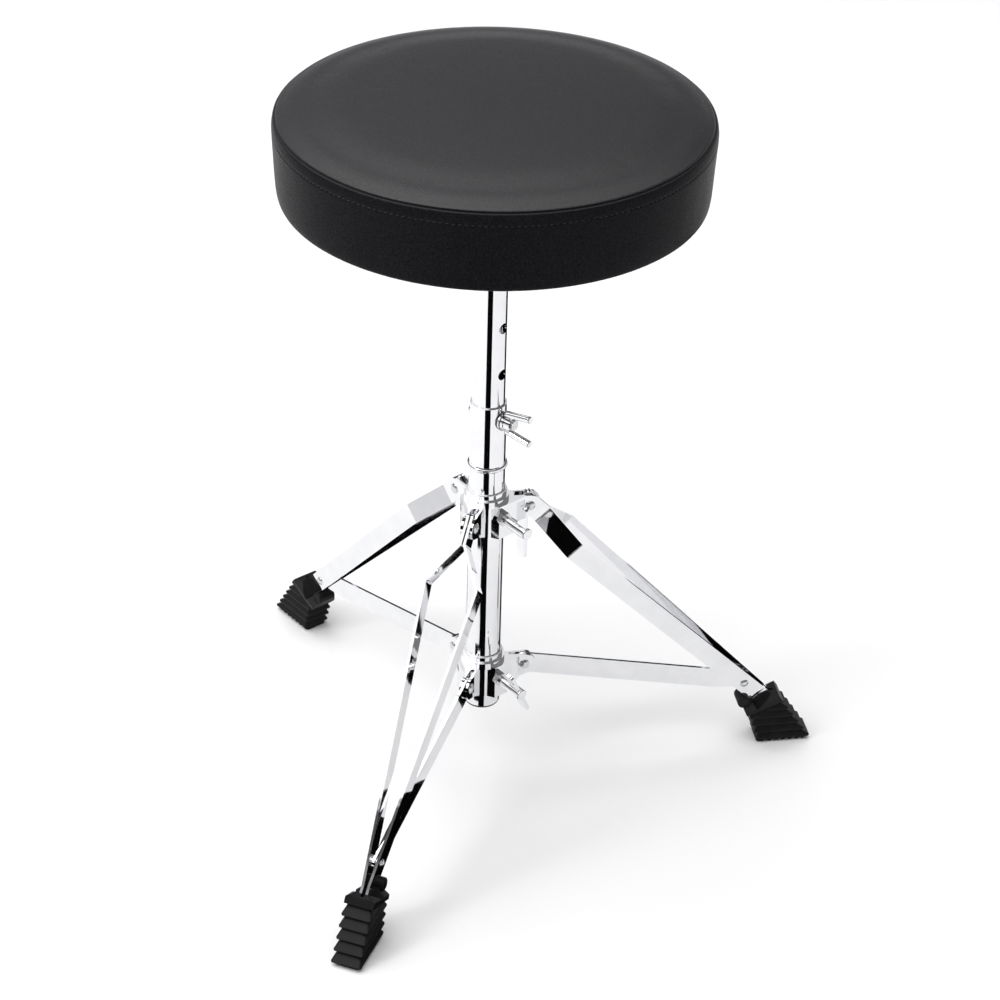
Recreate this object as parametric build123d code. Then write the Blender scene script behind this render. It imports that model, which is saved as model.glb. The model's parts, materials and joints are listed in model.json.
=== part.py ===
from build123d import *
import math
import os

# A tripod drum throne: round padded seat on a telescoping post, clamped in a tube that stands
# on three double-bar legs. Millimetres, +Z up. The origin is on the column's axis at floor level.

# ---- column ----
TUBE_R = 14.0
TUBE_BORE_R = 12.55
TUBE_BOTTOM_Z = 62.0
TUBE_TOP_Z = 337.0
STOP_RING_R = 15.7
STOP_RING_Z = 283.5
STOP_RING_HEIGHT = 4.4
PLUG_FLANGE = 2.0
PLUG_DEPTH = 14.0

POST_R = 12.5
POST_WALL = 1.5
POST_BOTTOM_Z = 235.0
POST_TOP_Z = 509.0
HOLE_PITCH = 39.0
HOLE_R = 4.3
HOLES_ABOVE_LOCK = 3
HOLES_BELOW_LOCK = 1

# ---- height lock ----
LOCK_Z = 325.0
LOCK_AZIMUTH = -38.0
BOLT_R = 4.0
TIP_GAP = 0.4
LOCK_STUD_END = 25.5
LOCK_WASHER_R = 7.5
LOCK_WASHER_T = 1.5
LOCK_HEAD_R = 6.4
WING_HUB_R = 6.0
PRONG_R = 2.8
PRONG_ROOT = 7.4
PRONG_TIP = 10.6
PRONG_END = 40.0

# ---- legs: azimuths, pivots and bars ----
LEG_AZIMUTHS = {"a": 129.5, "b": 9.5, "c": 249.5}
PIVOT_R = 33.3
UPPER_PIVOT_Z = 244.3
LOWER_PIVOT_Z = 93.0
FOOT_PIVOT_R = 215.5
FOOT_PIVOT_Z = 57.7
BAR_WIDTH = 16.0
BAR_T = 2.0
BAR_HEAD = 9.5
BEND_1 = 15.3
BEND_2 = 47.6
BEND_3 = 279.0
BAR_END = 300.0
BEND_R = 4.0
TOP_HALF_SPREAD = 2.6
MAX_HALF_SPREAD = 21.7
FOOT_HALF_SPREAD = 3.4
STRUT_WIDTH = 17.6
STRUT_T = 2.0
STRUT_TIP_R = 6.5

# ---- rivets ----
RIVET_R = 2.5
RIVET_HEAD_R = 4.2
RIVET_HEAD_T = 1.7
RUNNING_GAP = 0.06
SIDE_GAP = 0.3
FOOT_RIVET_HEAD_R = 3.6
SPACER_R = 5.0

# ---- brackets ----
COLLAR_T = 1.3
COLLAR_FIT = 0.08
COLLAR_ABOVE = 17.6
SHEET_T = 2.0
PLATE_ABOVE = 9.0
BRACKET_BELOW = 20.0
EAR_R = 9.0
PANEL_DISTANCE = 19.7
NOSE_LATERAL = -3.0
PANEL_BEND_LATERAL = 14.0
EAR_CORNER_X = 29.0
SLOT_START = 21.0
UPPER_EAR_GAP = 2.9
LOWER_EAR_GAP = 1.5
FLANGE_R = 17.2
FLANGE_ABOVE = 12.6

# ---- set screws of the brackets ----
HALF_PITCH = 60.0
SCREW_AZIMUTH = LEG_AZIMUTHS["b"] - HALF_PITCH
SCREW_ABOVE = -1.0
SCREW_R = 3.0
SCREW_NUT_FLATS = 10.0
SCREW_NUT_T = 4.5
SCREW_HUB_START = 29.0
SCREW_HUB_END = 50.0
SCREW_HUB_R = 4.6
WING_HALF_SPAN = 22.0
WING_BLADE_T = 2.6
WING_BLADE_WIDTH = 9.5
LOWER_WING_TURN = 25.0

# ---- rubber feet ----
FOOT_HALF_WIDTH = 12.0
FOOT_CORE_HALF_WIDTH = 9.2
FOOT_NECK_HALF_WIDTH = 6.0
SOLE_INNER_R = 231.0
SOLE_OUTER_R = 271.5
SOLE_HALF_WIDTH = 9.8
SOLE_TEETH = 7
RIB_COUNT = 5
RIB_Z = 3.6
RIB_PITCH = 7.34
RIB_STEP_BACK = 4.93
RIB_LIP = 0.9
RIB_DEPTH = 4.3
RIB_OUTER_R = 273.0
RIB_INNER_R = 228.0
NECK_START = 285.5
LOBE_START = 270.0
HEAD_CORNER = (248.3, 41.1)
HEAD_SLOPE = 26.0
SWING_SLOT_END = 288.0

# ---- seat ----
SEAT_BOTTOM_Z = 510.3
SEAM_Z = 569.5
SEAM_R = 154.6
SEAT_MAX_R = 157.2
BULGE_Z = 562.0
BULGE_ARC_R = 9.0
SEAT_FOOT_R = 153.6
SEAT_CORNER_R = 2.6
SEAT_TOP_Z = 582.0
SHOULDER_R = 138.0
CROWN_DROP = 8.2
SHOULDER_ARC_R = 50.0
COVER_T = 1.2
HEM_R = 122.0
BOARD_R = 144.0
BOARD_T = 12.0
PLATE_SIZE = 124.0
SEAT_PLATE_T = 2.5
PLATE_SCREW_PITCH = 96.0
SOCKET_R = 16.0
SOCKET_BOTTOM_Z = 466.0
SOCKET_FIT = 0.06
CLAMP_Z = 486.0
CLAMP_AZIMUTH = 90.0

LEG_RUN = FOOT_PIVOT_R - PIVOT_R
LEG_DROP = UPPER_PIVOT_Z - FOOT_PIVOT_Z
LEG_ANGLE = math.degrees(math.atan2(LEG_DROP, LEG_RUN))
LEG_LENGTH = math.hypot(LEG_RUN, LEG_DROP)
STRUT_DROP = LOWER_PIVOT_Z - FOOT_PIVOT_Z
STRUT_ANGLE = math.degrees(math.atan2(STRUT_DROP, LEG_RUN))
STRUT_LENGTH = math.hypot(LEG_RUN, STRUT_DROP)


# ---- helpers ----
def around(part, azimuth):
    return Rot(0, 0, azimuth) * part


def tube(outer, inner, bottom, top):
    ring = Circle(outer) - Circle(inner)
    return Pos(0, 0, bottom) * extrude(ring, top - bottom)


def radial_rod(radius, start, end, azimuth, height):
    rod = extrude(Plane.YZ.offset(start) * Circle(radius), end - start)
    return around(Pos(0, 0, height) * rod, azimuth)


def cross_rod(radius, start, end, x, z):
    """A rod along Y, across a leg's plane."""
    lying = Plane(origin=(x, start, z), x_dir=(1, 0, 0), z_dir=(0, 1, 0))
    return extrude(lying * Circle(radius), end - start)


def dome(radius, height):
    """A low rivet head on the XY plane: the cap of a ball, rising along +Z."""
    ball_r = (radius ** 2 + height ** 2) / (2 * height)
    ball = Pos(0, 0, height - ball_r) * Sphere(ball_r)
    slab = extrude(Circle(radius + 1), height + 1)
    return ball & slab


def side_dome(radius, height, x, y, z, side):
    seat = Plane(origin=(x, y, z), x_dir=(1, 0, 0), z_dir=(0, side, 0))
    return seat.location * dome(radius, height)


def on_leg(part):
    """Place a piece drawn along a leg: X down the leg, Y across it, Z away from the floor."""
    angle = math.radians(LEG_ANGLE)
    plane = Plane(
        origin=(PIVOT_R, 0, UPPER_PIVOT_Z),
        x_dir=(math.cos(angle), 0, -math.sin(angle)),
        z_dir=(math.sin(angle), 0, math.cos(angle)),
    )
    return plane.location * part


def on_strut(part):
    angle = math.radians(STRUT_ANGLE)
    plane = Plane(
        origin=(PIVOT_R, 0, LOWER_PIVOT_Z),
        x_dir=(math.cos(angle), 0, -math.sin(angle)),
        z_dir=(math.sin(angle), 0, math.cos(angle)),
    )
    return plane.location * part


def offset_path(points, distance):
    """An open path shifted to its left by a distance, with mitred corners."""
    pairs = list(zip(points, points[1:]))
    headings = [math.atan2(end[1] - start[1], end[0] - start[0]) for start, end in pairs]
    headings = [headings[0], *headings, headings[-1]]
    shifted = []
    for point, arriving, leaving in zip(points, headings, headings[1:]):
        turn = (leaving - arriving + math.pi) % (2 * math.pi) - math.pi
        middle = arriving + turn / 2
        reach = distance / math.cos(turn / 2)
        shifted.append((point[0] - reach * math.sin(middle), point[1] + reach * math.cos(middle)))
    return shifted


def write(name, part):
    solids = part.solids()
    shape = solids[0] if len(solids) == 1 else Compound(children=list(solids))
    shape.label = name
    export_step(shape, f"parts/{name}.step")


# ---- column pieces ----
def base_tube():
    body = tube(TUBE_R, TUBE_BORE_R, TUBE_BOTTOM_Z, TUBE_TOP_Z)
    body = body - radial_rod(BOLT_R, -TUBE_R - 2, TUBE_R + 2, LOCK_AZIMUTH, LOCK_Z)
    return body


def stop_ring():
    half = STOP_RING_HEIGHT / 2
    outline = make_face([
        Line((TUBE_R, -half), (TUBE_R, half)),
        ThreePointArc((TUBE_R, half), (STOP_RING_R, 0), (TUBE_R, -half)),
    ])
    return Pos(0, 0, STOP_RING_Z) * revolve(Plane.XZ * outline, Axis.Z)


def tube_plug():
    flange = Pos(0, 0, TUBE_BOTTOM_Z - PLUG_FLANGE) * extrude(Circle(TUBE_R - 0.2), PLUG_FLANGE)
    stem = Pos(0, 0, TUBE_BOTTOM_Z) * extrude(Circle(TUBE_BORE_R), PLUG_DEPTH)
    hollow = Pos(0, 0, TUBE_BOTTOM_Z + 2) * extrude(Circle(TUBE_BORE_R - 2), PLUG_DEPTH)
    flange = fillet(flange.edges().group_by(Axis.Z)[0], 1.0)
    return flange + stem - hollow


def seat_post():
    body = tube(POST_R, POST_R - POST_WALL, POST_BOTTOM_Z, POST_TOP_Z)
    for step in range(-HOLES_BELOW_LOCK, HOLES_ABOVE_LOCK + 1):
        height = LOCK_Z + step * HOLE_PITCH
        body = body - radial_rod(HOLE_R, -POST_R - 2, POST_R + 2, LOCK_AZIMUTH, height)
    return body


# ---- height lock pieces ----
def lock_bolt_head():
    seat_r = TUBE_R + 0.4
    plane = Plane(origin=(-seat_r, 0, LOCK_Z), x_dir=(0, 1, 0), z_dir=(-1, 0, 0))
    head = plane.location * dome(LOCK_HEAD_R, 3.8)
    neck = Pos(0, 0, LOCK_Z) * extrude(Plane.YZ.offset(-seat_r - 0.5) * Circle(BOLT_R), 1.9 - TIP_GAP)
    rim = Pos(0, 0, LOCK_Z) * extrude(Plane.YZ.offset(-seat_r) * Circle(LOCK_HEAD_R), 1.6)
    rim = rim - tube(TUBE_R, 1.0, LOCK_Z - 20, LOCK_Z + 20)
    return around(head + neck + rim, LOCK_AZIMUTH)


def lock_stud():
    return radial_rod(BOLT_R, POST_R + TIP_GAP, LOCK_STUD_END, LOCK_AZIMUTH, LOCK_Z)


def lock_washer():
    disc = radial_rod(LOCK_WASHER_R, TUBE_R, TUBE_R + LOCK_WASHER_T, LOCK_AZIMUTH, LOCK_Z)
    return disc - radial_rod(BOLT_R, TUBE_R - 1, TUBE_R + 4, LOCK_AZIMUTH, LOCK_Z)


def lock_wing_nut():
    start = TUBE_R + LOCK_WASHER_T + SIDE_GAP
    hub = Plane.YZ.offset(start) * Circle(WING_HUB_R + 0.6)
    hub = extrude(hub, 2.4)
    barrel = extrude(Plane.YZ.offset(start + 2) * Circle(WING_HUB_R), 6.0)
    bridge = Pos(start + 3.4, 0, 0) * Box(5.4, 2 * PRONG_R, 2 * PRONG_ROOT)
    body = hub + barrel + fillet(bridge.edges().filter_by(Axis.X), 2.4)
    for side in (-1, 1):
        root = (start + 2.8, 0, side * PRONG_ROOT)
        tip = (PRONG_END, 0, side * PRONG_TIP)
        plane = Plane(origin=root, z_dir=Vector(tip) - Vector(root))
        length = (Vector(tip) - Vector(root)).length
        prong = extrude(plane * Circle(PRONG_R), length)
        prong = fillet(prong.edges().filter_by(GeomType.CIRCLE).sort_by(Axis.X)[-1], 1.2)
        body = body + prong + Pos(*root) * Sphere(PRONG_R)
    body = body - extrude(Plane.YZ.offset(0) * Circle(BOLT_R + RUNNING_GAP), 60)
    return around(Pos(0, 0, LOCK_Z) * body, LOCK_AZIMUTH)


# ---- brackets ----
# A bracket is drawn round a pivot height of zero with one arm along +X, then copied to the three legs.
def collar(pivot_z, fit):
    inner = TUBE_R + fit
    bottom = pivot_z - BRACKET_BELOW
    body = tube(inner + COLLAR_T, inner, bottom, pivot_z + COLLAR_ABOVE)
    rim = body.edges().filter_by(GeomType.CIRCLE).group_by(Axis.Z)[-1].sort_by(SortBy.RADIUS)[-1]
    body = fillet(rim, 0.6)
    hole_r = SCREW_R + RUNNING_GAP
    return body - radial_rod(hole_r, TUBE_R - 4, TUBE_R + 8, SCREW_AZIMUTH, pivot_z + SCREW_ABOVE)


def panel_point(lateral, distance=PANEL_DISTANCE):
    """A point in plan on the flat panel that faces halfway to the next leg."""
    angle = math.radians(-HALF_PITCH)
    x = distance * math.cos(angle) - lateral * math.sin(angle)
    y = distance * math.sin(angle) + lateral * math.cos(angle)
    return (x, y)


def ear(y_start, lower_edge):
    """One upright ear: a round end at the rivet and a lower edge that slopes back to the column."""
    round_end = (PIVOT_R + 2.0, -EAR_R + 0.25)
    inner_x = lower_edge[-1][0]
    upright = Plane(origin=(0, y_start, 0), x_dir=(1, 0, 0), z_dir=(0, -1, 0))
    outline = make_face([
        Line((inner_x, PLATE_ABOVE), (PIVOT_R, PLATE_ABOVE)),
        ThreePointArc((PIVOT_R, PLATE_ABOVE), (PIVOT_R + EAR_R, 0), round_end),
        Polyline(round_end, *lower_edge, (inner_x, PLATE_ABOVE)),
    ])
    return extrude(upright * outline, -SHEET_T)


def panel_path(ear_gap):
    """In plan, the outer face from the ear along the panel, round the nose and back to the collar."""
    return [
        (EAR_CORNER_X, -ear_gap - SHEET_T),
        panel_point(PANEL_BEND_LATERAL),
        panel_point(NOSE_LATERAL),
        (1.6, -(TUBE_R + COLLAR_T)),
    ]


def bracket_panel(ear_gap):
    """The flat panel, its nose and the flange that returns to the collar, as one folded strip."""
    outer = panel_path(ear_gap)
    inner = offset_path(outer, -SHEET_T)
    strip = make_face(Polyline(*outer, *reversed(inner), close=True))
    body = Pos(0, 0, -BRACKET_BELOW) * extrude(strip, PLATE_ABOVE + BRACKET_BELOW)
    corner = Pos(EAR_CORNER_X, -ear_gap - SHEET_T, -EAR_R - 2.6)
    wedge = Box(40, 40, 30, align=(Align.CENTER, Align.CENTER, Align.MAX))
    return body - corner * Rot(0, 0, 35) * Rot(0, -35, 0) * wedge


def bracket_plate(ear_gap):
    """The top plate, open over the pocket beside the nose and slotted between the ears."""
    half = ear_gap + SHEET_T
    path = [(8.0, half), (EAR_CORNER_X, half), *panel_path(ear_gap), (0.0, -8.0)]
    face = make_face(Polyline(*path, close=True))
    slot = Pos(SLOT_START + 20, 0) * Rectangle(40, 2 * ear_gap)
    return Pos(0, 0, PLATE_ABOVE - SHEET_T) * extrude(face - slot, SHEET_T)


def bracket_arm(ear_gap):
    near_ear = ear(-ear_gap - SHEET_T, [(EAR_CORNER_X - 1.0, -EAR_R - 2.8)])
    far_ear = ear(ear_gap, [(PIVOT_R - 6.0, -12.0), (TUBE_R, -BRACKET_BELOW)])
    arm = near_ear + far_ear + bracket_panel(ear_gap) + bracket_plate(ear_gap)
    screw_hole = radial_rod(SCREW_R + RUNNING_GAP, TUBE_R - 4, TUBE_R + 16, -HALF_PITCH, SCREW_ABOVE)
    return arm - screw_hole


def bracket(pivot_z, ear_gap, fit):
    """The pressed sheet round a collar: three pairs of ears, three panels, plate and flange."""
    core_r = TUBE_R + fit + COLLAR_T
    arm = bracket_arm(ear_gap)
    body = None
    for azimuth in LEG_AZIMUTHS.values():
        placed = around(arm, azimuth)
        body = placed if body is None else body + placed
    for azimuth in LEG_AZIMUTHS.values():
        body = body - around(cross_rod(RIVET_R, -12, 12, PIVOT_R, 0), azimuth)
    body = body + tube(FLANGE_R, TUBE_R, PLATE_ABOVE - SHEET_T, FLANGE_ABOVE)
    body = body - Cylinder(core_r, 4 * COLLAR_ABOVE)
    return Pos(0, 0, pivot_z) * body


def pivot_rivets(pivot_z, ear_gap):
    """One rivet through each pair of ears, with a low head on both sides."""
    outer = ear_gap + SHEET_T
    group = []
    for azimuth in LEG_AZIMUTHS.values():
        shank = cross_rod(RIVET_R, -outer, outer, PIVOT_R, pivot_z)
        for side in (-1, 1):
            shank = shank + side_dome(RIVET_HEAD_R, RIVET_HEAD_T, PIVOT_R, side * outer, pivot_z, side)
        group.append(around(shank, azimuth))
    return Compound(children=group)


def screw_nut(pivot_z):
    nut = extrude(RegularPolygon(SCREW_NUT_FLATS / 2, 6, major_radius=False), SCREW_NUT_T)
    nut = nut - Cylinder(SCREW_R + RUNNING_GAP, 40)
    upright = Plane(origin=(PANEL_DISTANCE, 0, 0), x_dir=(0, 1, 0), z_dir=(1, 0, 0))
    placed = upright.location * nut
    return around(Pos(0, 0, pivot_z + SCREW_ABOVE) * placed, SCREW_AZIMUTH)


def wing_screw(tip, hub_start, hub_end):
    """A screw along +X with a round hub and two flat blades, drawn on the X axis."""
    thread = extrude(Plane.YZ.offset(tip) * Circle(SCREW_R), hub_start - tip)
    hub = extrude(Plane.YZ.offset(hub_start) * Circle(SCREW_HUB_R), hub_end - hub_start)
    hub = fillet(hub.edges().filter_by(GeomType.CIRCLE).sort_by(Axis.X)[-1], 1.2)
    middle = hub_end - WING_BLADE_WIDTH / 2 - 1.5
    blade = Rectangle(WING_BLADE_WIDTH, 2 * WING_HALF_SPAN)
    blade = fillet(blade.vertices(), 3.5)
    blade = extrude(Plane.XZ.offset(-WING_BLADE_T / 2) * blade, WING_BLADE_T)
    return thread + hub + Pos(middle, 0, 0) * blade


def bracket_wing_screw(pivot_z, turn):
    screw = wing_screw(TUBE_R + TIP_GAP, SCREW_HUB_START, SCREW_HUB_END)
    screw = Rot(turn, 0, 0) * screw
    return around(Pos(0, 0, pivot_z + SCREW_ABOVE) * screw, SCREW_AZIMUTH)


# ---- legs and struts ----
def bar_outline():
    outer = [
        (-BAR_HEAD, TOP_HALF_SPREAD),
        (BEND_1, TOP_HALF_SPREAD),
        (BEND_2, MAX_HALF_SPREAD),
        (BEND_3, FOOT_HALF_SPREAD),
        (BAR_END, FOOT_HALF_SPREAD),
    ]
    return outer, offset_path(outer, -BAR_T)


def leg_bar(side):
    """One flat bar on edge: parallel at the bracket, spread out, then running in to the foot."""
    outer, inner = bar_outline()
    face = make_face(Polyline(*outer, *reversed(inner), close=True))
    body = Pos(0, 0, -BAR_WIDTH / 2) * extrude(face, BAR_WIDTH)
    bends = body.edges().filter_by(Axis.Z).filter_by(lambda edge: 0 < edge.center().X < BAR_END - 1)
    body = fillet(bends, BEND_R)
    body = fillet(body.edges().filter_by(Axis.Y).group_by(Axis.X)[0], 3.0)
    body = body - cross_rod(RIVET_R + RUNNING_GAP, -1, 6, 0, 0)
    body = body - cross_rod(RIVET_R, -1, 12, LEG_LENGTH, 0)
    return body if side > 0 else mirror(body, Plane.XZ)


def foot_rivet():
    """Both halves of the foot rivet, each with its head outside and its spacer inside the bars."""
    inner_reach = STRUT_T / 2 + SIDE_GAP + 0.1
    slope = (MAX_HALF_SPREAD - FOOT_HALF_SPREAD) / (BEND_3 - BEND_2)
    outer_w = FOOT_HALF_SPREAD + slope * (BEND_3 - LEG_LENGTH)
    tilt = math.degrees(math.atan(slope))
    pieces = []
    for side in (-1, 1):
        bar = leg_bar(side)
        shank = cross_rod(RIVET_R, 0, outer_w + 0.2, LEG_LENGTH, 0)
        spacer = cross_rod(SPACER_R, inner_reach, outer_w - BAR_T / 2, LEG_LENGTH, 0)
        half = shank - cross_rod(RIVET_R + 1, -1, inner_reach, LEG_LENGTH, 0) + spacer
        head = Plane(origin=(LEG_LENGTH, outer_w, 0), x_dir=(1, 0, 0), z_dir=(0, 1, 0))
        head = head.location * Rot(0, tilt, 0) * dome(FOOT_RIVET_HEAD_R, 1.8)
        half = half + head
        half = half if side > 0 else mirror(half, Plane.XZ)
        pieces.append((half - bar).solids().sort_by(SortBy.VOLUME)[-1])
    return Compound(children=pieces)


def strut():
    """A single flat bar on edge, round at the bracket and narrowed round the foot rivet."""
    half = STRUT_WIDTH / 2
    blank = Pos(STRUT_LENGTH / 2, 0) * Rectangle(STRUT_LENGTH + STRUT_WIDTH, STRUT_WIDTH)
    blank = fillet(blank.vertices().group_by(Axis.X)[0], half - 0.2)
    neck = make_face(Polyline(
        (STRUT_LENGTH - 24, half),
        (STRUT_LENGTH - 3, STRUT_TIP_R),
        (STRUT_LENGTH + 20, STRUT_TIP_R),
        (STRUT_LENGTH + 20, half + 5),
        (STRUT_LENGTH - 24, half + 5),
        close=True,
    ))
    blank = blank - neck - mirror(neck, Plane.XZ)
    tip = Pos(STRUT_LENGTH, 0) * Circle(STRUT_TIP_R)
    square = Pos(STRUT_LENGTH + 20, 0) * Rectangle(40, 60)
    outline = (blank - square) + tip
    outline = outline - Circle(RIVET_R + RUNNING_GAP) - Pos(STRUT_LENGTH, 0) * Circle(RIVET_R)
    body = extrude(Plane.XZ.offset(-STRUT_T / 2) * outline, STRUT_T)
    return body


def strut_pin():
    """The strut's own share of the foot rivet, flush with both of its faces."""
    return cross_rod(RIVET_R, -STRUT_T / 2, STRUT_T / 2, STRUT_LENGTH, 0)


# ---- rubber feet, drawn in the leg's upright plane: X outward, Y across, Z up ----
def leg_plane_point(along, away):
    angle = math.radians(LEG_ANGLE)
    x = PIVOT_R + along * math.cos(angle) + away * math.sin(angle)
    z = UPPER_PIVOT_Z - along * math.sin(angle) + away * math.cos(angle)
    return (x, z)


def foot_head():
    """The block that grips the bars: full width at its lower edge, hipped in to the neck."""
    half_bar = BAR_WIDTH / 2
    profile = Polyline(
        leg_plane_point(LOBE_START, -half_bar),
        leg_plane_point(NECK_START, -half_bar),
        leg_plane_point(NECK_START, half_bar),
        (244.6, 46.2),
        HEAD_CORNER,
        (218.5, 28.5),
        (216.0, 34.0),
        close=True,
    )
    slab = extrude(Plane.XZ.offset(-FOOT_HALF_WIDTH) * make_face(profile), 2 * FOOT_HALF_WIDTH)
    widths = [
        (-50.0, FOOT_NECK_HALF_WIDTH),
        (-8.6, FOOT_NECK_HALF_WIDTH),
        (-5.2, FOOT_HALF_WIDTH - 0.3),
        (50.0, FOOT_HALF_WIDTH - 0.3),
    ]
    plan = Polyline(*widths, *[(x, -y) for x, y in reversed(widths)], close=True)
    slope = math.radians(HEAD_SLOPE)
    plane = Plane(
        origin=(HEAD_CORNER[0], 0, HEAD_CORNER[1]),
        x_dir=(math.sin(slope), 0, -math.cos(slope)),
        z_dir=(math.cos(slope), 0, math.sin(slope)),
    )
    hips = plane.location * (Pos(0, 0, -60) * extrude(make_face(plan), 120))
    return slab & hips


def foot_lobe():
    """A rounded lobe under the bars, on the strut's side."""
    lobe = cross_rod(5.4, -8.0, 8.0, 216.4, 39.4)
    return fillet(lobe.edges().filter_by(GeomType.CIRCLE), 1.6)


def foot_core():
    """The upright core behind the flanges, from the sole up into the head."""
    profile = Polyline(
        (SOLE_INNER_R + 0.5, RIB_Z),
        (RIB_INNER_R + 1.2, 10.0),
        (RIB_INNER_R - 3.0, 30.0),
        (RIB_INNER_R - 1.5, 33.0),
        (242.0, 42.0),
        (rib_outer_x(RIB_COUNT) - RIB_DEPTH, 40.0),
        (rib_outer_x(0) - RIB_DEPTH, RIB_Z),
        close=True,
    )
    half = FOOT_CORE_HALF_WIDTH
    return extrude(Plane.XZ.offset(-half) * make_face(profile), 2 * half)


def rib_outer_x(index):
    return RIB_OUTER_R - index * RIB_STEP_BACK


def rib_plan(inner_x, outer_x, half, height):
    plan = Rectangle(outer_x - inner_x, 2 * half)
    plan = fillet(plan.vertices(), 1.8)
    return Pos((outer_x + inner_x) / 2, 0, height) * plan


def foot_rib(index):
    """One flange: a thin lip with a flat underside, its upper face sloping in to the core."""
    height = RIB_Z + index * RIB_PITCH
    outer_x = rib_outer_x(index)
    inner_x = RIB_INNER_R - 2.2 * index + (14.8 if index == RIB_COUNT - 1 else 0.0)
    top_outer_x = rib_outer_x(index + 1) - RIB_DEPTH + 0.4
    lip = rib_plan(inner_x, outer_x, FOOT_HALF_WIDTH, height)
    upper = rib_plan(inner_x, outer_x, FOOT_HALF_WIDTH, height + RIB_LIP)
    top = rib_plan(inner_x + 2.6, top_outer_x, FOOT_CORE_HALF_WIDTH + 0.1, height + RIB_PITCH - 0.8)
    return extrude(lip, RIB_LIP) + loft([upper, top])


def foot_sole():
    """The tread under the lowest flange, cut across by grooves."""
    inner_x = SOLE_INNER_R - 2.0
    length = SOLE_OUTER_R - 1.5 - inner_x
    plan = Pos(inner_x + length / 2, 0) * Rectangle(length, 2 * SOLE_HALF_WIDTH)
    plan = fillet(plan.vertices(), 2.5)
    slab = extrude(plan, RIB_Z + 0.4)
    pitch = (SOLE_OUTER_R - SOLE_INNER_R) / SOLE_TEETH
    for index in range(SOLE_TEETH - 1):
        groove_x = SOLE_INNER_R + (index + 1) * pitch
        slab = slab - cross_rod(1.7, -20, 20, groove_x, 0)
    return slab


def rubber_foot():
    body = foot_core() + foot_sole() + foot_head() + foot_lobe()
    for index in range(RIB_COUNT):
        body = body + foot_rib(index)
    half_bar = BAR_WIDTH / 2
    height = 48.0
    swing = Box(60, 2 * (FOOT_HALF_SPREAD - BAR_T), height)
    swing = Pos(SWING_SLOT_END - 30, 0, height / 2 - half_bar) * swing
    return body - on_leg(leg_bar(1)) - on_leg(leg_bar(-1)) - on_leg(swing)


# ---- seat ----
def seat_section(inset):
    """Half section of the cushion, from the axis to the rim, shrunk by an inset."""
    top = SEAT_TOP_Z - inset
    bottom = SEAT_BOTTOM_Z + inset
    corner = SEAT_CORNER_R - inset
    foot_r = SEAT_FOOT_R - inset
    shoulder = (SHOULDER_R, SEAT_TOP_Z - CROWN_DROP - inset)
    seam = (SEAM_R - inset, SEAM_Z - inset)
    bulge = (SEAT_MAX_R - inset, BULGE_Z)
    ball_r = (SHOULDER_R ** 2 + CROWN_DROP ** 2) / (2 * CROWN_DROP)
    half_way = SHOULDER_R / 2
    crown_mid = (half_way, top - ball_r + math.sqrt(ball_r ** 2 - half_way ** 2))
    edges = [
        Line((0, bottom), (foot_r - corner, bottom)),
        RadiusArc((foot_r - corner, bottom), (foot_r, bottom + corner), -corner),
        Line((foot_r, bottom + corner), bulge),
        RadiusArc(bulge, seam, -BULGE_ARC_R),
        RadiusArc(seam, shoulder, -SHOULDER_ARC_R),
        ThreePointArc(shoulder, crown_mid, (0, top)),
        Line((0, top), (0, bottom)),
    ]
    return revolve(Plane.XZ * make_face(edges), Axis.Z)


def seat_cover():
    opening = Pos(0, 0, SEAT_BOTTOM_Z - 5) * extrude(Circle(HEM_R), 10)
    return seat_section(0) - seat_section(COVER_T) - opening


def board_blank():
    board = Pos(0, 0, SEAT_BOTTOM_Z + COVER_T) * extrude(Circle(BOARD_R), BOARD_T)
    return fillet(board.edges().filter_by(GeomType.CIRCLE), 2.0)


def seat_board():
    board = board_blank()
    for screw in seat_plate_screws().solids():
        board = board - screw
    return board


def seat_foam():
    return seat_section(COVER_T) - board_blank()


def seat_plate():
    plate = fillet(Rectangle(PLATE_SIZE, PLATE_SIZE).vertices(), 14.0)
    for x in (-1, 1):
        for y in (-1, 1):
            plate = plate - Pos(x * PLATE_SCREW_PITCH / 2, y * PLATE_SCREW_PITCH / 2) * Circle(3.2)
    top = SEAT_BOTTOM_Z + COVER_T
    body = Pos(0, 0, top - SEAT_PLATE_T) * extrude(plate, SEAT_PLATE_T)
    return body


def seat_socket():
    top = SEAT_BOTTOM_Z + COVER_T - SEAT_PLATE_T
    bore = POST_R + SOCKET_FIT
    body = tube(SOCKET_R, bore, SOCKET_BOTTOM_Z, top)
    boss = radial_rod(8.0, SOCKET_R - 2, SOCKET_R + 6, CLAMP_AZIMUTH, CLAMP_Z)
    body = body + (boss - tube(SOCKET_R - 0.5, 0.01, CLAMP_Z - 20, CLAMP_Z + 20))
    for azimuth in (0, 180, 270):
        web = make_face(Polyline((SOCKET_R - 0.5, top), (42, top), (SOCKET_R - 0.5, top - 26), close=True))
        web = extrude(Plane.XZ.offset(-1.25) * web, 2.5)
        body = body + around(web, azimuth)
    return body - radial_rod(SCREW_R + RUNNING_GAP, 5, 40, CLAMP_AZIMUTH, CLAMP_Z)


def seat_plate_screws():
    """Four pan-head screws up through the plate into the board."""
    group = []
    under = SEAT_BOTTOM_Z + COVER_T - SEAT_PLATE_T
    for x in (-1, 1):
        for y in (-1, 1):
            head = Pos(0, 0, under) * Rot(180, 0, 0) * dome(5.5, 3.0)
            shank = Pos(0, 0, under) * extrude(Circle(3.2), SEAT_PLATE_T + 9.0)
            screw = head + shank
            group.append(Pos(x * PLATE_SCREW_PITCH / 2, y * PLATE_SCREW_PITCH / 2, 0) * screw)
    return Compound(children=group)


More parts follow.
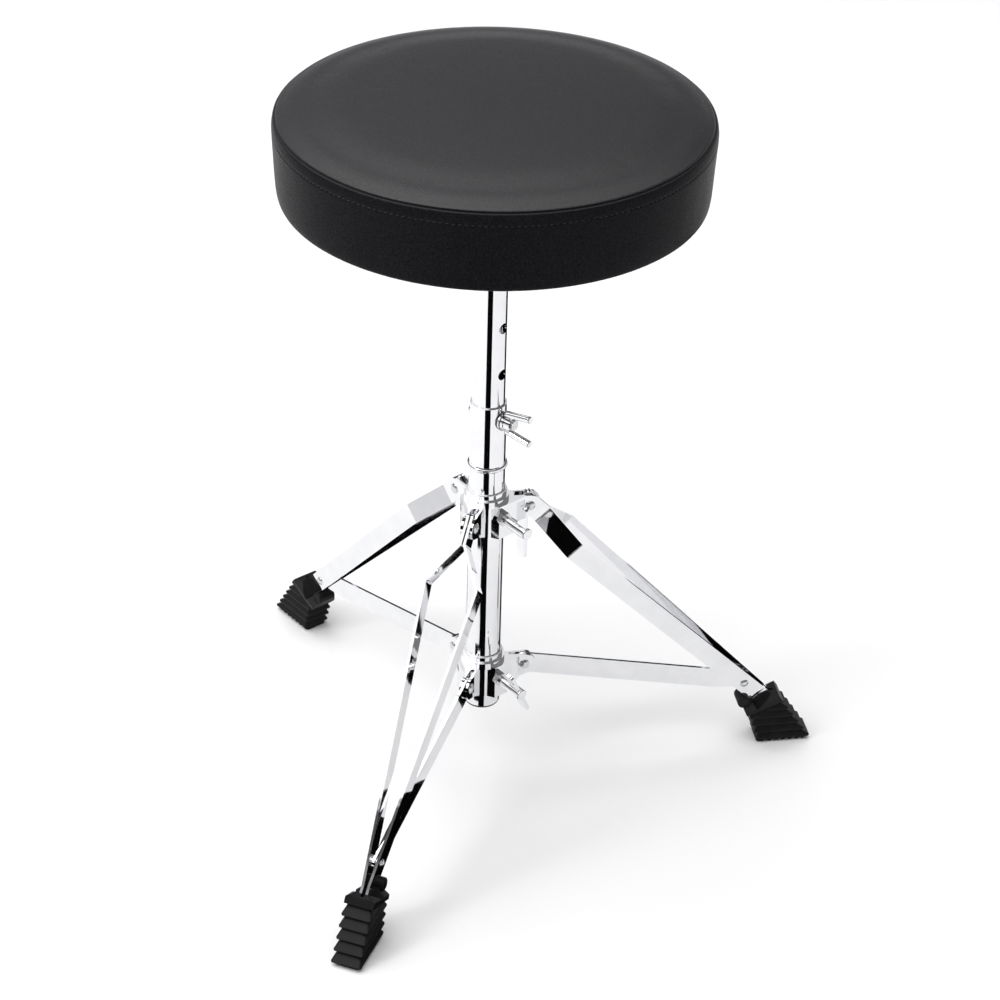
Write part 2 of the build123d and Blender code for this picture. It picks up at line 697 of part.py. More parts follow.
def seat_clamp_screw():
    screw = wing_screw(POST_R + TIP_GAP, 27.0, 44.0)
    return around(Pos(0, 0, CLAMP_Z) * screw, CLAMP_AZIMUTH)


# ---- write every piece ----
def main():
    os.makedirs("parts", exist_ok=True)

    write("base_tube", base_tube())
    write("stop_ring", stop_ring())
    write("tube_plug", tube_plug())
    write("lock_bolt_head", lock_bolt_head())
    write("lock_stud", lock_stud())
    write("lock_washer", lock_washer())
    write("lock_wing_nut", lock_wing_nut())
    write("seat_post", seat_post())

    levels = {
        "upper": (UPPER_PIVOT_Z, UPPER_EAR_GAP, 0.0, 0.0),
        "lower": (LOWER_PIVOT_Z, LOWER_EAR_GAP, COLLAR_FIT, LOWER_WING_TURN),
    }
    for level, (pivot_z, ear_gap, fit, turn) in levels.items():
        write(f"{level}_collar", collar(pivot_z, fit))
        write(f"{level}_bracket", bracket(pivot_z, ear_gap, fit))
        write(f"{level}_rivets", pivot_rivets(pivot_z, ear_gap))
        write(f"{level}_screw_nut", screw_nut(pivot_z))
        write(f"{level}_wing_screw", bracket_wing_screw(pivot_z, turn))

    bars = {"left": on_leg(leg_bar(1)), "right": on_leg(leg_bar(-1))}
    foot_pivot = on_leg(foot_rivet())
    foot = rubber_foot()
    brace = on_strut(strut())
    brace_pin = on_strut(strut_pin())
    for leg, azimuth in LEG_AZIMUTHS.items():
        for side, bar in bars.items():
            write(f"leg_{leg}_bar_{side}", around(bar, azimuth))
        write(f"leg_{leg}_foot_rivet", around(foot_pivot, azimuth))
        write(f"leg_{leg}_foot", around(foot, azimuth))
        write(f"strut_{leg}", around(brace, azimuth))
        write(f"strut_{leg}_pin", around(brace_pin, azimuth))

    write("seat_cover", seat_cover())
    write("seat_foam", seat_foam())
    write("seat_board", seat_board())
    write("seat_plate", seat_plate())
    write("seat_socket", seat_socket())
    write("seat_plate_screws", seat_plate_screws())
    write("seat_clamp_screw", seat_clamp_screw())


main()
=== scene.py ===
import json
import math
import random

import bmesh
import bpy
from mathutils import Matrix, Vector
from mathutils.bvhtree import BVHTree

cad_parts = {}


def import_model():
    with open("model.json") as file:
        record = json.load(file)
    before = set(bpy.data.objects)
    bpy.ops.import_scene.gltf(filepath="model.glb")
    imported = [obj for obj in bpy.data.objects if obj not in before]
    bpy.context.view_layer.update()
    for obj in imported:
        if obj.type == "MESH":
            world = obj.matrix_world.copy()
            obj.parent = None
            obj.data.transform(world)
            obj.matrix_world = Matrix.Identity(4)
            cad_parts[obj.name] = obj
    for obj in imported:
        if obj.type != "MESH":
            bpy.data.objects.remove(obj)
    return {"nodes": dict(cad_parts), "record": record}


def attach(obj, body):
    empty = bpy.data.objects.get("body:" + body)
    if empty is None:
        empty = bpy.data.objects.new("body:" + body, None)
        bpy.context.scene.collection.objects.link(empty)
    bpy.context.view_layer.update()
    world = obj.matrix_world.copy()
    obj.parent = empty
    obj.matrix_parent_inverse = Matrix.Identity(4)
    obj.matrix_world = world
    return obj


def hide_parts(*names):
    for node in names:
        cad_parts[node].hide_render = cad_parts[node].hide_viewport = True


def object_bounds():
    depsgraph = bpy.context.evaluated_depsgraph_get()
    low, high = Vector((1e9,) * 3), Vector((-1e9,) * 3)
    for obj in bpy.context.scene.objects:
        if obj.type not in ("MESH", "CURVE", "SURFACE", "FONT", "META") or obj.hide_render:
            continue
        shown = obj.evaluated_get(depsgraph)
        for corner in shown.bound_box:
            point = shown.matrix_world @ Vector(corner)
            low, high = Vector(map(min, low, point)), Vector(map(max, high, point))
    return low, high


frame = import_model()
nodes = frame["nodes"]
cad_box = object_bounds()

MM = 0.001

CAMERA_PLACE = (0, -1.6977, 1.3413)
CAMERA_YAW = 0.14
CAMERA_PITCH = -33.03
CAMERA_ROLL = 1.43
CAMERA_LENS = 95.02
CAMERA_SHIFT = (0.0085, 0.0126)
FLOOR_HALF = 14.0
FLAG_LIFT = 0.0015


# ---------------------------------------------------------------- camera, lights and floor
def camera():
    """Stands about 2.2 m from the throne and looks down on it by 33 degrees, very slightly rolled."""
    yaw, pitch, roll = (math.radians(v) for v in (CAMERA_YAW, CAMERA_PITCH, CAMERA_ROLL))
    forward = Vector((math.sin(yaw) * math.cos(pitch), math.cos(yaw) * math.cos(pitch), math.sin(pitch)))
    level_right = forward.cross(Vector((0, 0, 1))).normalized()
    level_up = level_right.cross(forward)
    right = level_right * math.cos(roll) + level_up * math.sin(roll)
    up = level_up * math.cos(roll) - level_right * math.sin(roll)
    data = bpy.data.cameras.new("camera")
    data.lens = CAMERA_LENS
    data.sensor_width = 36.0
    data.shift_x, data.shift_y = CAMERA_SHIFT
    data.clip_start = 0.05
    data.clip_end = 60.0
    view = bpy.data.objects.new("camera", data)
    rotation = Matrix((right, up, -forward)).transposed().to_4x4()
    view.matrix_world = Matrix.Translation(CAMERA_PLACE) @ rotation
    bpy.context.collection.objects.link(view)
    bpy.context.scene.camera = view


def panel_light(name, place, aim, size, watts):
    data = bpy.data.lights.new(name, "AREA")
    data.shape = "RECTANGLE"
    data.size, data.size_y = size
    data.energy = watts
    lamp = bpy.data.objects.new(name, data)
    lamp.location = place
    lamp.rotation_euler = (Vector(aim) - Vector(place)).to_track_quat("-Z", "Y").to_euler()
    bpy.context.collection.objects.link(lamp)


def flag(name, corners):
    """A black studio flag: only glossy surfaces see it, so it darkens a reflection and nothing else."""
    mesh = bpy.data.meshes.new(name)
    mesh.from_pydata(corners, [], [tuple(range(len(corners)))])
    mesh.materials.append(flat_black())
    card = bpy.data.objects.new(name, mesh)
    card.visible_camera = False
    card.visible_diffuse = False
    card.visible_shadow = False
    bpy.context.collection.objects.link(card)


def floor_wedge(name, start, end, near, far):
    """A flag cut as a sector round the column and laid just over the floor, between two azimuths."""
    low = cad_box[0][2] + FLAG_LIFT
    steps = 10
    turn = [math.radians(start + (end - start) * i / steps) for i in range(steps + 1)]
    outer = [(far * math.cos(a), far * math.sin(a), low) for a in turn]
    inner = [(near * math.cos(a), near * math.sin(a), low) for a in reversed(turn)]
    flag(name, outer + inner)


def standing_flag(name, place, width, bottom, top):
    """An upright flag square on to the column."""
    side = Vector((-place[1], place[0], 0)).normalized() * (width / 2)
    foot = Vector((place[0], place[1], 0))
    flag(name, [
        foot - side + Vector((0, 0, bottom)), foot + side + Vector((0, 0, bottom)),
        foot + side + Vector((0, 0, top)), foot - side + Vector((0, 0, top)),
    ])


def flat_black():
    found = bpy.data.materials.get("flag_black")
    if found:
        return found
    made = bpy.data.materials.new("flag_black")
    made.use_nodes = True
    shader = made.node_tree.nodes["Principled BSDF"]
    shader.inputs["Base Color"].default_value = (0.002, 0.002, 0.002, 1)
    shader.inputs["Roughness"].default_value = 1.0
    shader.inputs["Specular IOR Level"].default_value = 0.0
    return made


def world():
    """A studio room: a pale ring at the horizon, dark walls with one pale band, and a pale ceiling.

    Above the ring, the left side is brighter than the right.
    """
    sky = bpy.context.scene.world or bpy.data.worlds.new("studio")
    bpy.context.scene.world = sky
    sky.use_nodes = True
    tree = sky.node_tree
    where = tree.nodes.new("ShaderNodeTexCoord")
    split = tree.nodes.new("ShaderNodeSeparateXYZ")
    walls = tree.nodes.new("ShaderNodeValToRGB")
    ring = [(0.0, 0.85), (0.13, 0.8)]
    band = [(0.2, 0.05), (0.47, 0.05), (0.52, 0.8), (0.64, 0.8), (0.68, 0.05)]
    ceiling = [(0.78, 0.05), (0.84, 0.9)]
    stops = ring + band + ceiling
    while len(walls.color_ramp.elements) < len(stops):
        walls.color_ramp.elements.new(0.5)
    for element, (height, value) in zip(walls.color_ramp.elements, stops):
        element.position = height
        element.color = (value, value, 1.02 * value, 1)
    tree.links.new(where.outputs["Generated"], split.inputs["Vector"])
    tree.links.new(split.outputs["Z"], walls.inputs["Fac"])
    tree.links.new(walls.outputs["Color"], tree.nodes["Background"].inputs["Color"])
    drift = world_range(tree, split.outputs["X"], -0.25, 0.25, 0.9, -0.7)
    high = world_range(tree, split.outputs["Z"], 0.42, 0.47, 0.0, 1.0)
    side = tree.nodes.new("ShaderNodeMath")
    side.operation = "MULTIPLY_ADD"
    side.inputs[2].default_value = 1.0
    tree.links.new(drift, side.inputs[0])
    tree.links.new(high, side.inputs[1])
    tree.links.new(side.outputs["Value"], tree.nodes["Background"].inputs["Strength"])


def world_range(tree, value, start, end, low, high):
    node = tree.nodes.new("ShaderNodeMapRange")
    for name, number in (("From Min", start), ("From Max", end), ("To Min", low), ("To Max", high)):
        node.inputs[name].default_value = number
    tree.links.new(value, node.inputs["Value"])
    return node.outputs["Result"]


def floor():
    """A pale sweep, flat as far as any view can see."""
    low = cad_box[0][2]
    mesh = bpy.data.meshes.new("floor")
    corners = [(x * FLOOR_HALF, y * FLOOR_HALF, low) for x, y in ((-1, -1), (1, -1), (1, 1), (-1, 1))]
    mesh.from_pydata(corners, [], [(0, 1, 2, 3)])
    made = bpy.data.materials.new("floor_white")
    made.use_nodes = True
    shader = made.node_tree.nodes["Principled BSDF"]
    shader.inputs["Base Color"].default_value = (0.97, 0.97, 0.97, 1)
    shader.inputs["Roughness"].default_value = 0.9
    shader.inputs["Specular IOR Level"].default_value = 0.1
    mesh.materials.append(made)
    ground = bpy.data.objects.new("floor", mesh)
    bpy.context.collection.objects.link(ground)


# ---------------------------------------------------------------- materials
class Nodes:
    """Short calls for building one procedural material."""

    def __init__(self, name):
        self.material = bpy.data.materials.new(name)
        self.material.use_nodes = True
        self.tree = self.material.node_tree
        self.shader = self.tree.nodes["Principled BSDF"]
        self.place = self.add("ShaderNodeTexCoord").outputs["Object"]

    def add(self, kind, **values):
        node = self.tree.nodes.new(kind)
        for key, value in values.items():
            setattr(node, key, value)
        return node

    def link(self, source, target):
        self.tree.links.new(source, target)

    def noise(self, scale, detail=3.0, roughness=0.5, stretch=None):
        node = self.add("ShaderNodeTexNoise")
        node.inputs["Scale"].default_value = scale
        node.inputs["Detail"].default_value = detail
        node.inputs["Roughness"].default_value = roughness
        self.link(self.stretched(stretch), node.inputs["Vector"])
        return node.outputs["Fac"]

    def voronoi(self, scale, feature="F1", stretch=None):
        node = self.add("ShaderNodeTexVoronoi", feature=feature)
        node.inputs["Scale"].default_value = scale
        self.link(self.stretched(stretch), node.inputs["Vector"])
        return node.outputs["Distance"]

    def stretched(self, stretch):
        if stretch is None:
            return self.place
        mapping = self.add("ShaderNodeMapping")
        mapping.inputs["Scale"].default_value = stretch
        self.link(self.place, mapping.inputs["Vector"])
        return mapping.outputs["Vector"]

    def between(self, value, low, high, start=0.0, end=1.0):
        node = self.add("ShaderNodeMapRange")
        node.inputs["From Min"].default_value = start
        node.inputs["From Max"].default_value = end
        node.inputs["To Min"].default_value = low
        node.inputs["To Max"].default_value = high
        self.link(value, node.inputs["Value"])
        return node.outputs["Result"]

    def ramp(self, value, *stops):
        node = self.add("ShaderNodeValToRGB")
        band = node.color_ramp
        while len(band.elements) < len(stops):
            band.elements.new(0.5)
        for element, (position, colour) in zip(band.elements, stops):
            element.position = position
            element.color = (*colour, 1)
        self.link(value, node.inputs["Fac"])
        return node.outputs["Color"]

    def math(self, how, a, b):
        node = self.add("ShaderNodeMath", operation=how)
        for socket, value in zip(node.inputs, (a, b)):
            if isinstance(value, float):
                socket.default_value = value
            else:
                self.link(value, socket)
        return node.outputs["Value"]

    def bump(self, height, distance, strength=1.0, before=None):
        node = self.add("ShaderNodeBump")
        node.inputs["Distance"].default_value = distance
        node.inputs["Strength"].default_value = strength
        self.link(height, node.inputs["Height"])
        if before is not None:
            self.link(before, node.inputs["Normal"])
        return node.outputs["Normal"]

    def set(self, **values):
        names = {
            "metallic": "Metallic",
            "specular": "Specular IOR Level",
            "coat": "Coat Weight",
            "coat_roughness": "Coat Roughness",
            "sheen": "Sheen Weight",
            "sheen_roughness": "Sheen Roughness",
            "roughness": "Roughness",
            "colour": "Base Color",
        }
        for key, value in values.items():
            socket = self.shader.inputs[names[key]]
            if isinstance(value, bpy.types.NodeSocket):
                self.link(value, socket)
            else:
                socket.default_value = (*value, 1) if isinstance(value, tuple) else value

    def normal(self, source):
        self.link(source, self.shader.inputs["Normal"])


def chrome():
    """Bright plate over slightly uneven steel, with a few faint hairlines and dulled patches."""
    n = Nodes("chrome_plate")
    smears = n.noise(55.0, 4.0, 0.6)
    hairs = n.noise(900.0, 2.0, 0.5, stretch=(1.0, 1.0, 0.05))
    n.set(metallic=1.0)
    n.set(colour=n.ramp(smears, (0.3, (0.78, 0.783, 0.797)), (0.75, (0.85, 0.85, 0.86))))
    dull = n.between(smears, 0.02, 0.07, 0.35, 0.75)
    scratched = n.between(hairs, 0.0, 0.03, 0.55, 0.75)
    n.set(roughness=n.math("ADD", dull, scratched))
    n.normal(n.bump(n.noise(38.0, 2.0, 0.4), 0.0004, 0.25))
    return n.material


def plated_screws():
    """Zinc-plated rivets and nuts: duller, with a fine turned grain."""
    n = Nodes("zinc_plate")
    patches = n.noise(420.0, 4.0, 0.6)
    n.set(metallic=1.0)
    n.set(colour=n.ramp(patches, (0.3, (0.55, 0.55, 0.56)), (0.7, (0.74, 0.74, 0.74))))
    n.set(roughness=n.between(patches, 0.16, 0.32, 0.3, 0.7))
    n.normal(n.bump(n.noise(1500.0, 2.0, 0.5), 0.00005, 0.5))
    return n.material


def vinyl(name, tint, rough):
    """Embossed vinyl: pebble grain with creases between; shinier on the top panel than on the band."""
    n = Nodes(name)
    pebbles = n.voronoi(1150.0, "SMOOTH_F1")
    creases = n.noise(640.0, 5.0, 0.65)
    broad = n.noise(26.0, 3.0, 0.55)
    grain = n.math("ADD", n.math("MULTIPLY", pebbles, 0.7), n.math("MULTIPLY", creases, 0.5))
    bright = tuple(2.0 * v for v in tint)
    dark = tuple(0.5 * v for v in tint)
    n.set(colour=n.ramp(grain, (0.3, bright), (0.5, tint), (0.8, dark)))
    worn = n.between(grain, rough - 0.05, rough + 0.1, 0.3, 0.8)
    n.set(roughness=n.math("ADD", worn, n.between(broad, -0.03, 0.04)))
    height = n.add("ShaderNodeSeparateXYZ")
    n.link(n.place, height.inputs["Vector"])
    n.set(specular=n.between(height.outputs["Z"], 0.03, 0.42, (SEAM_Z - 1) * MM, (SEAM_Z + 1) * MM))
    n.set(sheen=0.03, sheen_roughness=0.4)
    wide = n.bump(broad, 0.0012, 0.25)
    n.normal(n.bump(grain, 0.0002, 0.9, wide))
    return n.material


def thread():
    n = Nodes("seat_thread")
    twist = n.noise(2600.0, 2.0, 0.5, stretch=(1.0, 1.0, 0.35))
    n.set(colour=n.ramp(twist, (0.3, (0.008, 0.008, 0.009)), (0.7, (0.03, 0.03, 0.033))))
    n.set(roughness=n.between(twist, 0.45, 0.7))
    n.normal(n.bump(twist, 0.0001, 0.6))
    return n.material


def rubber():
    """Moulded rubber: nearly black, with a faint random mottle, and fine mould texture."""
    n = Nodes("moulded_rubber")
    mottle = n.noise(90.0, 4.0, 0.6)
    skin = n.noise(1400.0, 3.0, 0.6)
    n.set(colour=n.ramp(mottle, (0.3, (0.0045, 0.0045, 0.005)), (0.75, (0.011, 0.011, 0.012))))
    n.set(roughness=n.math("ADD", n.between(mottle, 0.34, 0.46), n.between(skin, -0.05, 0.08)))
    n.set(specular=0.14)
    n.normal(n.bump(skin, 0.0001, 0.5, n.bump(mottle, 0.0004, 0.2)))
    return n.material


def plywood():
    """Rotary-cut veneer stained black: long grain lines, pores, and a faint warm drift."""
    n = Nodes("plywood_face")
    rings = n.noise(9.0, 6.0, 0.62, stretch=(0.6, 6.0, 1.0))
    lines = n.noise(170.0, 4.0, 0.6, stretch=(0.08, 1.0, 1.0))
    both = n.math("ADD", n.math("MULTIPLY", rings, 0.65), n.math("MULTIPLY", lines, 0.35))
    dark, middle, pale = (0.02, 0.018, 0.017), (0.035, 0.031, 0.028), (0.06, 0.052, 0.046)
    n.set(colour=n.ramp(both, (0.35, dark), (0.5, middle), (0.68, pale)))
    n.set(roughness=n.between(lines, 0.6, 0.8))
    n.normal(n.bump(lines, 0.0002, 0.5))
    return n.material


def painted_steel():
    """Black powder coat with orange peel."""
    n = Nodes("powder_coat")
    peel = n.noise(520.0, 3.0, 0.5)
    drift = n.noise(30.0, 2.0, 0.5)
    n.set(colour=n.ramp(drift, (0.35, (0.012, 0.012, 0.013)), (0.7, (0.022, 0.022, 0.024))))
    n.set(roughness=n.between(peel, 0.3, 0.45))
    n.set(coat=0.15, coat_roughness=0.2)
    n.normal(n.bump(peel, 0.0002, 0.5))
    return n.material


def plastic():
    n = Nodes("plug_moulding")
    skin = n.noise(700.0, 3.0, 0.6)
    n.set(colour=n.ramp(skin, (0.3, (0.012, 0.012, 0.012)), (0.7, (0.024, 0.024, 0.024))))
    n.set(roughness=n.between(skin, 0.45, 0.6))
    n.normal(n.bump(skin, 0.00008, 0.5))
    return n.material


def foam():
    n = Nodes("cut_foam")
    cells = n.voronoi(700.0)
    n.set(colour=n.ramp(cells, (0.1, (0.5, 0.43, 0.24)), (0.7, (0.74, 0.67, 0.45))))
    n.set(roughness=n.between(cells, 0.8, 0.95))
    n.normal(n.bump(cells, 0.0006, 0.8))
    return n.material


def dress_frame():
    """Gives each CAD node its finish."""
    finishes = {
        "chrome": chrome(), "bright_screws": plated_screws(), "rubber": rubber(), "plywood": plywood(),
        "black_steel": painted_steel(), "plug_plastic": plastic(), "foam": foam(),
    }
    slots = {part["node"]: part["material_slot"] for part in frame["record"]["subparts"]}
    for name, node in nodes.items():
        finish = finishes.get(slots[name])
        if finish is None:
            continue
        for place in node.material_slots:
            place.material = finish


# ---------------------------------------------------------------- small mesh tools
def new_piece(name, vertices, faces, material, smooth=True):
    mesh = bpy.data.meshes.new(name)
    mesh.from_pydata(vertices, [], faces)
    mesh.update()
    made = bmesh.new()
    made.from_mesh(mesh)
    bmesh.ops.recalc_face_normals(made, faces=made.faces)
    made.to_mesh(mesh)
    made.free()
    mesh.materials.append(material)
    if smooth:
        mesh.polygons.foreach_set("use_smooth", [True] * len(mesh.polygons))
    piece = bpy.data.objects.new(name, mesh)
    bpy.context.collection.objects.link(piece)
    return piece


def apply_modifiers(piece):
    graph = bpy.context.evaluated_depsgraph_get()
    baked = bpy.data.meshes.new_from_object(piece.evaluated_get(graph))
    piece.modifiers.clear()
    piece.data = baked


# ---------------------------------------------------------------- seat
SEAT_TURNS = 240
CROWN_TOP = 581.2
CROWN_DROP = 5.2
CROWN_R = 141.0
SEAM_Z = 569.5
STITCH_Z = 561.0
STITCH_R = 156.2
STITCH_PITCH = 4.3
BAND_SLOPE = 0.042
SEAT_BOTTOM = 510.3
BOARD_R = 144.35
BOARD_UNDER = 511.42
BOARD_TOP = 523.9
HEM_R = 122.0


def seat_profile():
    """(radius, height, kind) in mm: from the top's centre out, down to the hem, and in round the board."""
    crown = (2, 10, 20, 30, 41, 52, 63, 74, 85, 95, 104, 112, 119, 125, 130.5, 135.5, 139.7)
    rows = [(r, CROWN_TOP - CROWN_DROP * (r / CROWN_R) ** 2.2, "top") for r in crown]
    rows += [
        (143.4, 575.4, "top"), (146.6, 574.6, "top"), (149.2, 573.6, "top"), (151.4, 572.4, "top"),
        (153.0, 571.2, "edge"), (153.7, 570.4, "edge"),
        (153.5, 569.9, "seam"), (152.8, 569.55, "seam"), (153.4, 569.25, "seam"),
        (154.8, 569.35, "edge"), (155.5, 568.9, "edge"), (155.8, 568.1, "edge"),
        (156.1, 566.6, "band"), (156.4, 564.9, "band"), (156.6, 563.2, "band"),
        (156.6, 561.9, "band"), (156.5, 561.3, "edge"), (STITCH_R, STITCH_Z, "stitch"),
        (156.5, 560.7, "edge"), (156.55, 560.1, "band"), (156.5, 558.6, "band"),
    ]
    band = (555.5, 551.5, 547.5, 543.5, 539.5, 535.5, 531.5)
    rows += [(156.4 - BAND_SLOPE * (band[0] - z), z, "band") for z in band]
    rows += [(r, z, "band") for r, z in ((155.2, 527.5), (155.0, 523.5), (154.7, 519.6))]
    corner = ((154.3, 516.0), (153.8, 513.4), (153.0, 511.7), (151.4, 510.8), (148.6, 510.5))
    rows += [(r, z, "low") for r, z in corner]
    rows += [(r, SEAT_BOTTOM + 0.1, "low") for r in (144.0, 139.0, 133.6, 128.2, 123.6)]
    rows += [
        (HEM_R, 510.6, "inner"), (HEM_R, 511.2, "inner"),
        (123.6, BOARD_UNDER, "inner"), (134.0, BOARD_UNDER, "inner"),
        (BOARD_R, BOARD_UNDER, "inner"), (BOARD_R, 517.0, "inner"),
    ]
    rows += [(r, BOARD_TOP, "inner") for r in (BOARD_R, 120.0, 70.0, 25.0, 2.0)]
    return rows


def lathe(rows, turns):
    """A closed shell round Z, its two ends closed by a point each."""
    vertices = []
    for r, z, _ in rows:
        for i in range(turns):
            angle = 2 * math.pi * i / turns
            vertices.append((r * MM * math.cos(angle), r * MM * math.sin(angle), z * MM))
    faces = []
    for row in range(len(rows) - 1):
        for i in range(turns):
            j = (i + 1) % turns
            a, b = row * turns + i, row * turns + j
            faces.append((a, b, b + turns, a + turns))
    for row, z in ((0, rows[0][1]), (len(rows) - 1, rows[-1][1])):
        centre = len(vertices)
        vertices.append((0, 0, z * MM))
        for i in range(turns):
            faces.append((centre, row * turns + i, row * turns + (i + 1) % turns))
    return vertices, faces


CLOTH_FRAMES = 20


def inflate(piece, held):
    """Blows the cover up like a real cushion: held is each vertex's pin weight."""
    group = piece.vertex_groups.new(name="held")
    for index, weight in enumerate(held):
        group.add([index], weight, "REPLACE")
    cloth = piece.modifiers.new("cloth", "CLOTH")
    settings = cloth.settings
    settings.quality = 6
    settings.mass = 0.25
    settings.tension_stiffness = 18.0
    settings.compression_stiffness = 18.0
    settings.shear_stiffness = 8.0
    settings.bending_stiffness = 0.35
    settings.use_pressure = True
    settings.uniform_pressure_force = 3.0
    settings.shrink_min = 0.0
    settings.vertex_group_mass = "held"
    settings.effector_weights.gravity = 0.0
    cloth.collision_settings.use_collision = False
    cloth.point_cache.frame_start = 1
    cloth.point_cache.frame_end = CLOTH_FRAMES
    scene = bpy.context.scene
    for step in range(1, CLOTH_FRAMES + 1):
        scene.frame_set(step)
    graph = bpy.context.evaluated_depsgraph_get()
    moved = [v.co.copy() for v in piece.evaluated_get(graph).data.vertices]
    piece.modifiers.clear()
    scene.frame_set(1)
    return moved


def taut(start, moved, rings):
    """Each vertex's step, with most of the puckers round its ring evened out, as in a tight cover."""
    steps = [after - before for before, after in zip(start, moved)]
    for ring in range(rings):
        members = range(ring * SEAT_TURNS, (ring + 1) * SEAT_TURNS)
        away = {i: Vector((start[i].x, start[i].y, 0)).normalized() for i in members}
        out = sum(steps[i].dot(away[i]) for i in members) / SEAT_TURNS
        up = sum(steps[i].z for i in members) / SEAT_TURNS
        for i in members:
            even = away[i] * out + Vector((0, 0, up))
            steps[i] = even * 0.88 + steps[i] * 0.12
    return steps


# How far, in mm, the air may push each kind of row, and how firmly the row is held against it.
PUFF = {"top": 1.2, "band": 0.9, "low": 0.5, "edge": 0.4, "seam": 0.0, "stitch": 0.5, "inner": 0.0}
HOLD = {"top": 0.0, "band": 0.0, "low": 0.75, "edge": 0.8, "seam": 1.0, "stitch": 0.5, "inner": 1.0}
RIPPLE_COUNTS = (3, 5, 7, 11, 14, 19, 23)
RIPPLE = 0.22
RIPPLE_TOP = 560.5
STITCH_DEPTH = 0.45


def push_out(piece, rows, start, steps):
    """Moves each vertex by its step, kept within its row's limit, and gives the band faint ripples."""
    rng = random.Random(5)
    waves = [(k, rng.uniform(0.4, 1.0), rng.uniform(0, 2 * math.pi)) for k in RIPPLE_COUNTS]
    centres = {len(rows) * SEAT_TURNS: "top", len(rows) * SEAT_TURNS + 1: "inner"}
    for index, vertex in enumerate(piece.data.vertices):
        _, height, kind = rows[min(index // SEAT_TURNS, len(rows) - 1)]
        limit = PUFF[centres.get(index, kind)] * MM
        step = steps[index]
        if step.length > limit:
            step = step.normalized() * limit
        spot = start[index] + step
        if kind in ("band", "low", "edge") and index not in centres and height < RIPPLE_TOP:
            angle = math.atan2(spot.y, spot.x)
            share = math.sin(math.pi * min(max((height - SEAT_BOTTOM + 0.3) / 50.0, 0.0), 1.0))
            ripple = sum(size * math.sin(k * angle + phase) / k ** 0.5 for k, size, phase in waves)
            spot += Vector((spot.x, spot.y, 0)).normalized() * (RIPPLE * MM * share * ripple)
        vertex.co = spot


def sink_stitch_row(piece, rows):
    first = [kind for _, _, kind in rows].index("stitch") * SEAT_TURNS
    for index in range(first, first + SEAT_TURNS):
        vertex = piece.data.vertices[index]
        vertex.co -= Vector((vertex.co.x, vertex.co.y, 0)).normalized() * (STITCH_DEPTH * MM)


def cushion(material):
    """The cover as one closed shell: inflated, then seams and the top-stitched line set into it."""
    rows = seat_profile()
    vertices, faces = lathe(rows, SEAT_TURNS)
    piece = new_piece("seat_cushion", vertices, faces, material)
    held = []
    for _, _, kind in rows:
        held += [HOLD[kind]] * SEAT_TURNS
    held += [HOLD["top"], HOLD["inner"]]
    start = [Vector(v) for v in vertices]
    moved = start
    moved = inflate(piece, held)
    push_out(piece, rows, start, taut(start, moved, len(rows)))
    sink_stitch_row(piece, rows)
    smooth = piece.modifiers.new("smooth", "SUBSURF")
    smooth.levels = smooth.render_levels = 1
    apply_modifiers(piece)
    piece.data.polygons.foreach_set("use_smooth", [True] * len(piece.data.polygons))
    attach(piece, "seat")
    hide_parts("seat_cover", "seat_foam")
    return piece


def surface_of(piece):
    points = [v.co for v in piece.data.vertices]
    return BVHTree.FromPolygons(points, [tuple(p.vertices) for p in piece.data.polygons])


def capsule(spot, along, out, length, radius):
    """Vertices and faces of one thread stitch: a short rod, bowed outwards and tapered into the holes."""
    across = along.cross(out).normalized()
    rings, sides = 5, 6
    vertices, faces = [], []
    for ring in range(rings):
        t = ring / (rings - 1)
        bow = math.sin(math.pi * t)
        size = radius * (0.45 + 0.55 * bow)
        centre = spot + along * (length * (t - 0.5)) + out * (radius * 0.9 * bow - radius * 0.35)
        for k in range(sides):
            angle = 2 * math.pi * k / sides
            vertices.append(centre + (across * math.cos(angle) + out * math.sin(angle)) * size)
    for ring in range(rings - 1):
        for k in range(sides):
            a, b = ring * sides + k, ring * sides + (k + 1) % sides
            faces.append((a, b, b + sides, a + sides))
    faces.append(tuple(range(sides)))
    faces.append(tuple(range((rings - 1) * sides, rings * sides)))
    return vertices, faces


def gather(name, shapes, material, smooth=True):
    vertices, faces = [], []
    for points, polygons in shapes:
        base = len(vertices)
        vertices += [tuple(p) for p in points]
        faces += [tuple(base + i for i in polygon) for polygon in polygons]
    return new_piece(name, vertices, faces, material, smooth)


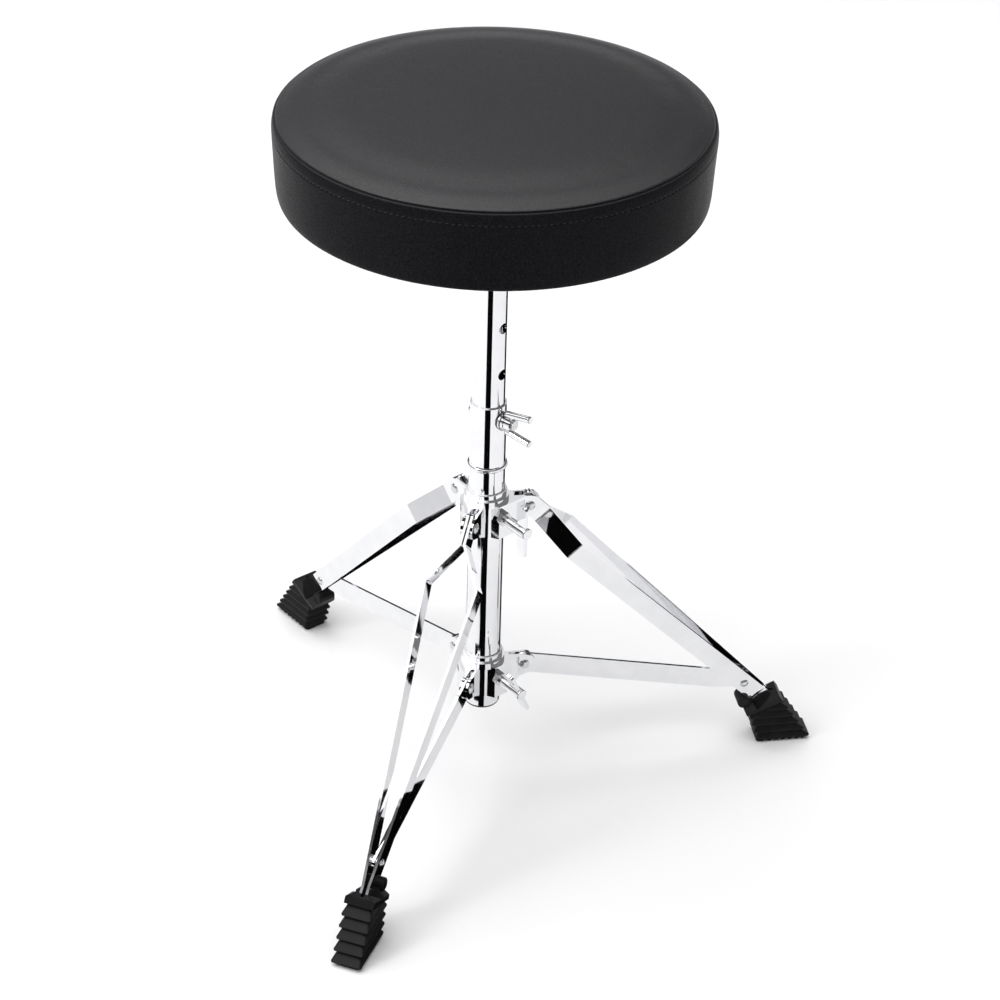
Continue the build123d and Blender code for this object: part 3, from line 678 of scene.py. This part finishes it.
def stitches(cover, material):
    """One line of thread stitches below the seam, each lying in the cover's stitched groove."""
    surface = surface_of(cover)
    count = round(2 * math.pi * STITCH_R / STITCH_PITCH)
    shapes = []
    for i in range(count):
        angle = 2 * math.pi * i / count
        away = Vector((math.cos(angle), math.sin(angle), 0))
        hit = surface.ray_cast(away * 0.3 + Vector((0, 0, STITCH_Z * MM)), -away)[0]
        along = Vector((-away.y, away.x, 0))
        shapes.append(capsule(hit, along, away, 3.1 * MM, 0.34 * MM))
    line = gather("seat_stitches", shapes, material)
    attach(line, "seat")


def staples(cover, material):
    """Staples that hold the folded hem to the board underneath."""
    surface = surface_of(cover)
    count = 46
    rng = random.Random(11)
    shapes = []
    for i in range(count):
        angle = 2 * math.pi * (i + rng.uniform(-0.15, 0.15)) / count
        away = Vector((math.cos(angle), math.sin(angle), 0))
        along = (Vector((-away.y, away.x, 0)) + away * rng.uniform(-0.25, 0.25)).normalized()
        spot = away * ((129.0 + rng.uniform(-1.2, 1.2)) * MM) + Vector((0, 0, 0.49))
        hit = surface.ray_cast(spot, Vector((0, 0, 1)))[0]
        shapes.append(capsule(hit, along, Vector((0, 0, -1)), 9.5 * MM, 0.45 * MM))
    row = gather("seat_staples", shapes, material)
    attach(row, "seat")


# ---------------------------------------------------------------- build
camera()
world()
floor()
panel_light("overhead", (-0.3, 0.1, 2.9), (-0.3, 0.1, 0), (4.6, 4.6), 86.0)
panel_light("shoulder_strip", (-1.9, -0.9, 1.9), (-0.1, -0.1, 0.57), (0.35, 1.2), 14.0)
floor_wedge("front_flag", -111.0, -76.0, 0.03, 1.3)
floor_wedge("right_flag", 33.0, 62.0, 0.03, 0.9)
floor_wedge("upper_pocket_flag", -140.0, -111.0, 0.33, 0.41)
floor_wedge("lower_pocket_flag", -140.0, -111.0, 0.10, 0.18)
standing_flag("camera_flag", (-0.85, -2.2), 2.2, 0.0, 1.3)

dress_frame()
cover = cushion(vinyl("seat_vinyl", (0.0085, 0.0085, 0.010), 0.36))
stitches(cover, thread())
staples(cover, plated_screws())

bpy.context.scene.view_settings.view_transform = "Standard"
